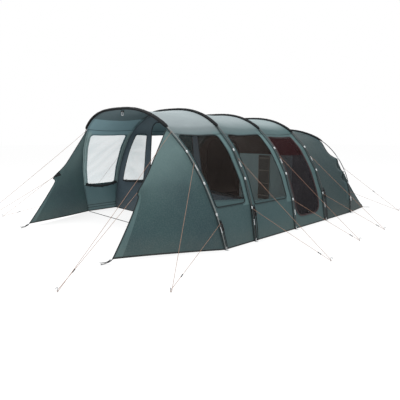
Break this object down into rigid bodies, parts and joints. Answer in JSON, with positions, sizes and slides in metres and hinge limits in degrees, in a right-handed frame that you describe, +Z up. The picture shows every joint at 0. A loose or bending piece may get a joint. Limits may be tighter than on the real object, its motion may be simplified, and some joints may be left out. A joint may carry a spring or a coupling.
{
  "type": "tunnel tent",
  "caption": "Large tunnel tent on arched poles in outside sleeves, with an open front porch, side windows, a mesh side door, an inner tent, guy lines, runners and pegs",
  "frame": {"origin": "on the ground, at the middle of the tent without its guy lines", "axes": "+Z up, +Y towards the rear, +X towards the right-hand side of a person who stands inside and looks to the rear"},
  "size_m": [6.5718, 7.1825, 2.0863],
  "materials": {
    "pole": "grey composite rod",
    "webbing_black": "matt black woven sleeve and webbing",
    "flysheet": "coated grey-green polyester, paler on the roof",
    "clear_film": "clear flexible film",
    "mesh": "fine black insect mesh",
    "groundsheet": "dark grey sheet",
    "inner_tent": "dark breathable polyester",
    "guy_line": "orange braided cord",
    "peg_steel": "bent steel wire",
    "runner_plastic": "black moulded plastic"
  },
  "bodies": {
    "tent": {"bedroom": "inner_tent", "cross_wall": "flysheet", "fly_bedroom": "flysheet", "fly_living_front": "flysheet", "fly_living_rear": "flysheet", "fly_porch": "flysheet", "fly_rear_wall": "flysheet", "groundsheet": "groundsheet", "guy_fourth_left": "guy_line", "guy_fourth_right": "guy_line", "guy_front_left": "guy_line", "guy_front_right": "guy_line", "guy_rear_left": "guy_line", "guy_rear_right": "guy_line", "guy_second_left": "guy_line", "guy_second_right": "guy_line", "guy_third_left": "guy_line", "guy_third_right": "guy_line", "guy_wing_left": "guy_line", "guy_wing_right": "guy_line", "peg_fourth_left": "peg_steel", "peg_fourth_right": "peg_steel", "peg_front_left": "peg_steel", "peg_front_right": "peg_steel", "peg_rear_left": "peg_steel", "peg_rear_right": "peg_steel", "peg_second_left": "peg_steel", "peg_second_right": "peg_steel", "peg_third_left": "peg_steel", "peg_third_right": "peg_steel", "peg_wing_left": "peg_steel", "peg_wing_right": "peg_steel", "pole_fourth": "pole", "pole_front": "pole", "pole_rear": "pole", "pole_second": "pole", "pole_third": "pole", "porch_strap": "webbing_black", "sleeve_fourth": "webbing_black", "sleeve_front": "webbing_black", "sleeve_rear": "webbing_black", "sleeve_second": "webbing_black", "sleeve_third": "webbing_black", "window_cross_left": "clear_film", "window_cross_right": "clear_film", "window_living_right": "clear_film", "window_porch_left": "clear_film", "window_porch_right": "clear_film", "wing_left": "flysheet", "wing_right": "flysheet"},
    "side_door": {"side_door": "mesh"},
    "side_door_slider": {"side_door_slider": "runner_plastic"},
    "runner_wing_right": {"runner_wing_right": "runner_plastic"},
    "runner_front_right": {"runner_front_right": "runner_plastic"},
    "runner_second_right": {"runner_second_right": "runner_plastic"},
    "runner_third_right": {"runner_third_right": "runner_plastic"},
    "runner_fourth_right": {"runner_fourth_right": "runner_plastic"},
    "runner_rear_right": {"runner_rear_right": "runner_plastic"},
    "runner_wing_left": {"runner_wing_left": "runner_plastic"},
    "runner_front_left": {"runner_front_left": "runner_plastic"}
  },
  "joints": [
    {"name": "side_door_hinge", "type": "hinge", "parent": "tent", "child": "side_door", "pos_m": [2.11015, 0.24143, 0.2], "axis": [0.4465, 0, -0.8948], "range_deg": [0, 90]},
    {"name": "side_door_zip", "type": "slide", "parent": "side_door", "child": "side_door_slider", "axis": [0, 1, 0], "range_m": [-0.12, 0.12]},
    {"name": "runner_wing_right_slide", "type": "slide", "parent": "tent", "child": "runner_wing_right", "axis": [-0.2949, 0.8162, 0.4968], "range_m": [-0.05, 0.25]},
    {"name": "runner_front_right_slide", "type": "slide", "parent": "tent", "child": "runner_front_right", "axis": [-0.3965, 0.8901, 0.2249], "range_m": [-0.05, 0.25]},
    {"name": "runner_second_right_slide", "type": "slide", "parent": "tent", "child": "runner_second_right", "axis": [-0.9423, 0.0407, 0.3323], "range_m": [-0.05, 0.25]},
    {"name": "runner_third_right_slide", "type": "slide", "parent": "tent", "child": "runner_third_right", "axis": [-0.9263, -0.0353, 0.3752], "range_m": [-0.05, 0.25]},
    {"name": "runner_fourth_right_slide", "type": "slide", "parent": "tent", "child": "runner_fourth_right", "axis": [-0.9246, -0.0179, 0.3804], "range_m": [-0.05, 0.25]},
    {"name": "runner_rear_right_slide", "type": "slide", "parent": "tent", "child": "runner_rear_right", "axis": [-0.5452, -0.596, 0.5896], "range_m": [-0.05, 0.25]},
    {"name": "runner_wing_left_slide", "type": "slide", "parent": "tent", "child": "runner_wing_left", "axis": [0.3052, 0.8126, 0.4966], "range_m": [-0.05, 0.25]},
    {"name": "runner_front_left_slide", "type": "slide", "parent": "tent", "child": "runner_front_left", "axis": [0.4066, 0.8854, 0.2252], "range_m": [-0.05, 0.25]}
  ]
}
